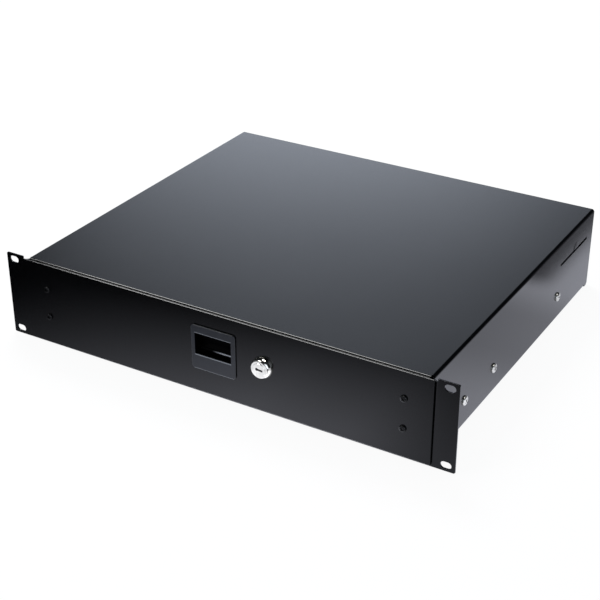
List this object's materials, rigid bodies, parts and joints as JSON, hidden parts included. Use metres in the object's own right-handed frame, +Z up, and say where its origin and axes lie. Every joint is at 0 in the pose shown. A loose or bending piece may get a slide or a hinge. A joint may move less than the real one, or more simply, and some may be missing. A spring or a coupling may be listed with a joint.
{
  "type": "sliding rack drawer",
  "caption": "Lockable two-unit sliding drawer for a rack: folded black steel chassis with ears, ball-bearing slides, flush finger latch and chromed cam lock.",
  "frame": {"origin": "centre of the four rack slots, in the plane of the front of the rack ears", "axes": "+X to the right seen from the front, +Y towards the back of the rack, +Z up; the drawer opens along -Y"},
  "size_m": [0.4826, 0.3943, 0.0882],
  "materials": {
    "black_paint": "black powder coat on sheet steel, satin with a faint fine texture",
    "black_screws": "blackened steel, semi-gloss",
    "zinc_screws": "bright zinc plate",
    "zinc_steel": "zinc-plated sheet steel, satin",
    "slide_steel": "zinc-plated rolled steel with drawing lines",
    "cage_steel": "plain rolled steel strip",
    "bright_steel": "polished steel",
    "chrome": "polished chrome plate",
    "latch_plastic": "black moulded plastic, fine matt grain",
    "buffer_plastic": "black moulded plastic"
  },
  "bodies": {
    "chassis": {"chassis_shell": "black_paint", "front_bottom_rail": "black_paint", "rear_panel": "black_paint", "slide_mount_screws": "zinc_screws", "slide_outer_left": "slide_steel", "slide_outer_right": "slide_steel", "slide_bumper_left": "buffer_plastic", "slide_bumper_right": "buffer_plastic"},
    "drawer": {"drawer_tray": "black_paint", "drawer_front": "black_paint", "front_screws": "black_screws", "front_nuts": "zinc_screws", "slide_inner_left": "slide_steel", "slide_inner_right": "slide_steel", "slide_tray_screws": "zinc_screws", "latch_housing": "latch_plastic", "lever_pin": "bright_steel", "latch_spring": "bright_steel", "latch_strap": "zinc_steel", "latch_strap_screw": "zinc_screws", "lock_body": "chrome", "lock_nut": "zinc_steel"},
    "slide_middle_left": {"slide_middle_left": "slide_steel"},
    "slide_middle_right": {"slide_middle_right": "slide_steel"},
    "outer_cage_left": {"outer_cage_left": "cage_steel", "outer_balls_left": "bright_steel"},
    "outer_cage_right": {"outer_cage_right": "cage_steel", "outer_balls_right": "bright_steel"},
    "inner_cage_left": {"inner_cage_left": "cage_steel", "inner_balls_left": "bright_steel"},
    "inner_cage_right": {"inner_cage_right": "cage_steel", "inner_balls_right": "bright_steel"},
    "latch_lever": {"latch_lever": "latch_plastic"},
    "latch_bolt": {"latch_bolt": "latch_plastic"},
    "lock_plug": {"lock_plug": "chrome", "lock_cam": "zinc_steel", "lock_cam_screw": "zinc_screws"}
  },
  "joints": [
    {"name": "drawer_slide", "type": "slide", "parent": "chassis", "child": "drawer", "axis": [0, -1, 0], "range_m": [0, 0.34]},
    {"name": "middle_slide_left", "type": "slide", "parent": "chassis", "child": "slide_middle_left", "axis": [0, -1, 0], "range_m": [0, 0.17]},
    {"name": "outer_cage_slide_left", "type": "slide", "parent": "chassis", "child": "outer_cage_left", "axis": [0, -1, 0], "range_m": [0, 0.085]},
    {"name": "inner_cage_slide_left", "type": "slide", "parent": "slide_middle_left", "child": "inner_cage_left", "axis": [0, -1, 0], "range_m": [0, 0.085]},
    {"name": "middle_slide_right", "type": "slide", "parent": "chassis", "child": "slide_middle_right", "axis": [0, -1, 0], "range_m": [0, 0.17]},
    {"name": "outer_cage_slide_right", "type": "slide", "parent": "chassis", "child": "outer_cage_right", "axis": [0, -1, 0], "range_m": [0, 0.085]},
    {"name": "inner_cage_slide_right", "type": "slide", "parent": "slide_middle_right", "child": "inner_cage_right", "axis": [0, -1, 0], "range_m": [0, 0.085]},
    {"name": "latch_lever_hinge", "type": "hinge", "parent": "drawer", "child": "latch_lever", "pos_m": [0.0004, 0.0055, 0.02075], "axis": [-1, 0, 0], "range_deg": [0, 20], "stiffness_Nm_per_rad": 0.035, "springref_deg": -48.7},
    {"name": "latch_bolt_slide", "type": "slide", "parent": "drawer", "child": "latch_bolt", "axis": [0, 0, -1], "range_m": [0, 0.00415], "deforming": ["latch_spring"]},
    {"name": "lock_hinge", "type": "hinge", "parent": "drawer", "child": "lock_plug", "pos_m": [0.052, 0, 0.00445], "axis": [0, -1, 0], "range_deg": [0, 90]}
  ],
  "couplings": [
    {"joint": "middle_slide_left", "follows": "drawer_slide", "ratio": 0.5},
    {"joint": "outer_cage_slide_left", "follows": "drawer_slide", "ratio": 0.25},
    {"joint": "inner_cage_slide_left", "follows": "drawer_slide", "ratio": 0.25},
    {"joint": "middle_slide_right", "follows": "drawer_slide", "ratio": 0.5},
    {"joint": "outer_cage_slide_right", "follows": "drawer_slide", "ratio": 0.25},
    {"joint": "inner_cage_slide_right", "follows": "drawer_slide", "ratio": 0.25},
    {"joint": "latch_bolt_slide", "follows": "latch_lever_hinge", "m_per_rad": 0.011757}
  ]
}
